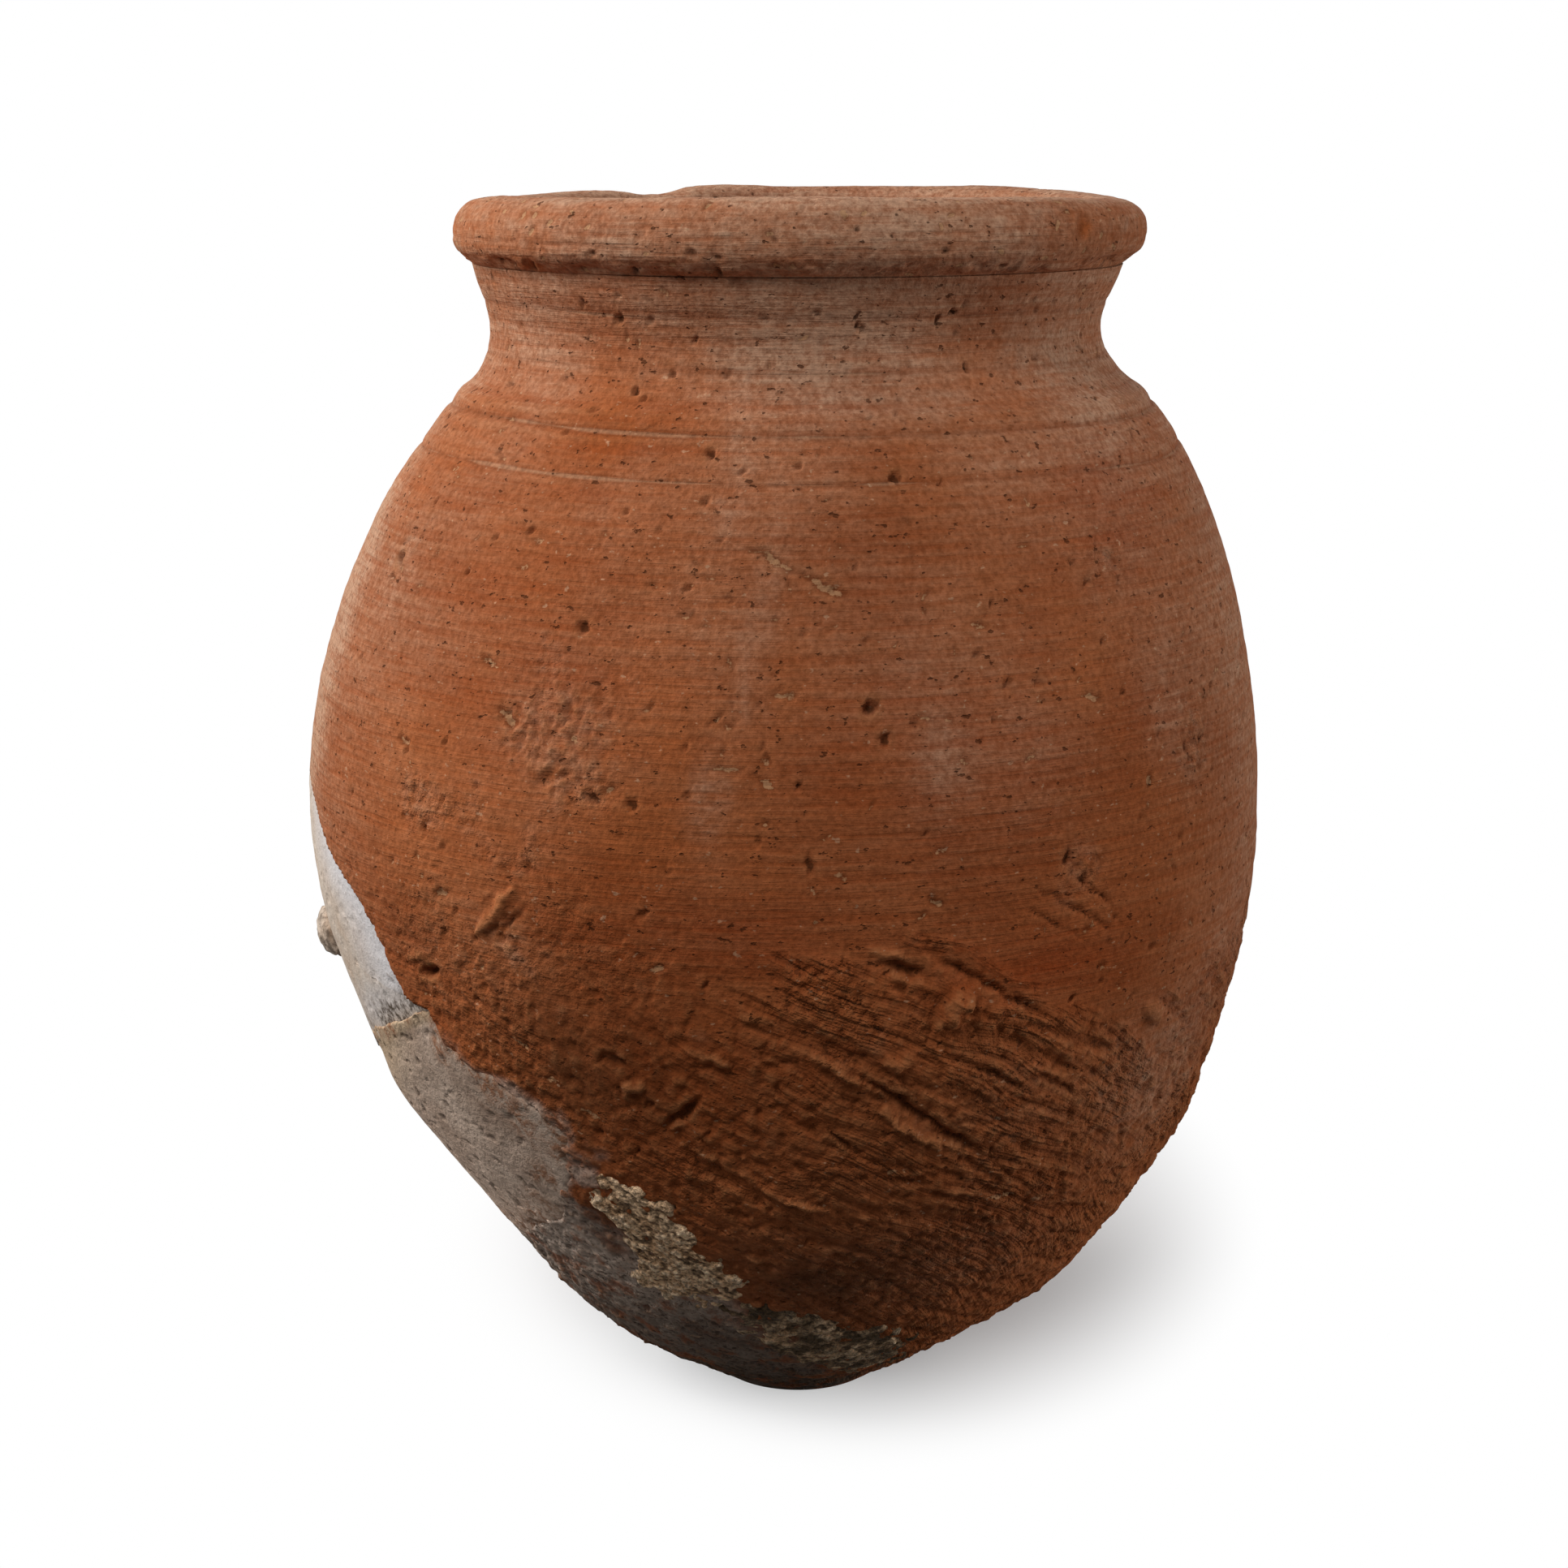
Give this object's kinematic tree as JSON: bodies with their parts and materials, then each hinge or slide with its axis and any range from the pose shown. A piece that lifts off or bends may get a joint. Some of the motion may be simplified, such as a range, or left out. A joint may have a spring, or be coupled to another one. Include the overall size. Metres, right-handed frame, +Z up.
{
  "type": "terracotta jar",
  "caption": "Free-standing terracotta storage jar with a rolled rim, concave neck, incised shoulder, scraped lower body, plaster-filled break and lime crust.",
  "frame": {"origin": "on the surface that the jar stands on, below the middle of the jar's bounding box", "axes": "+Z up through the mouth; -Y is the front as pictured, with the plaster-filled break towards -X"},
  "size_m": [0.1874, 0.188, 0.2405],
  "materials": {
    "terracotta": "matt unglazed, wheel-smoothed",
    "terracotta_scraped": "matt unglazed, scraped",
    "terracotta_dark": "matt unglazed, sooted",
    "plaster_pale": "matt, trowelled",
    "plaster_grey": "matt, speckled",
    "plaster_lump": "matt, rough",
    "lime_crust": "sandy",
    "foot_crust": "sandy"
  },
  "bodies": {
    "root": {"base": "terracotta_dark", "lower_wall": "terracotta_scraped", "belly_wall": "terracotta", "shoulder": "terracotta", "neck": "terracotta", "rim_roll": "terracotta", "plaster_fill_upper": "plaster_pale", "plaster_fill_lower": "plaster_grey", "plaster_lump": "plaster_lump", "lime_crust": "lime_crust", "foot_crust": "foot_crust"}
  },
  "joints": []
}
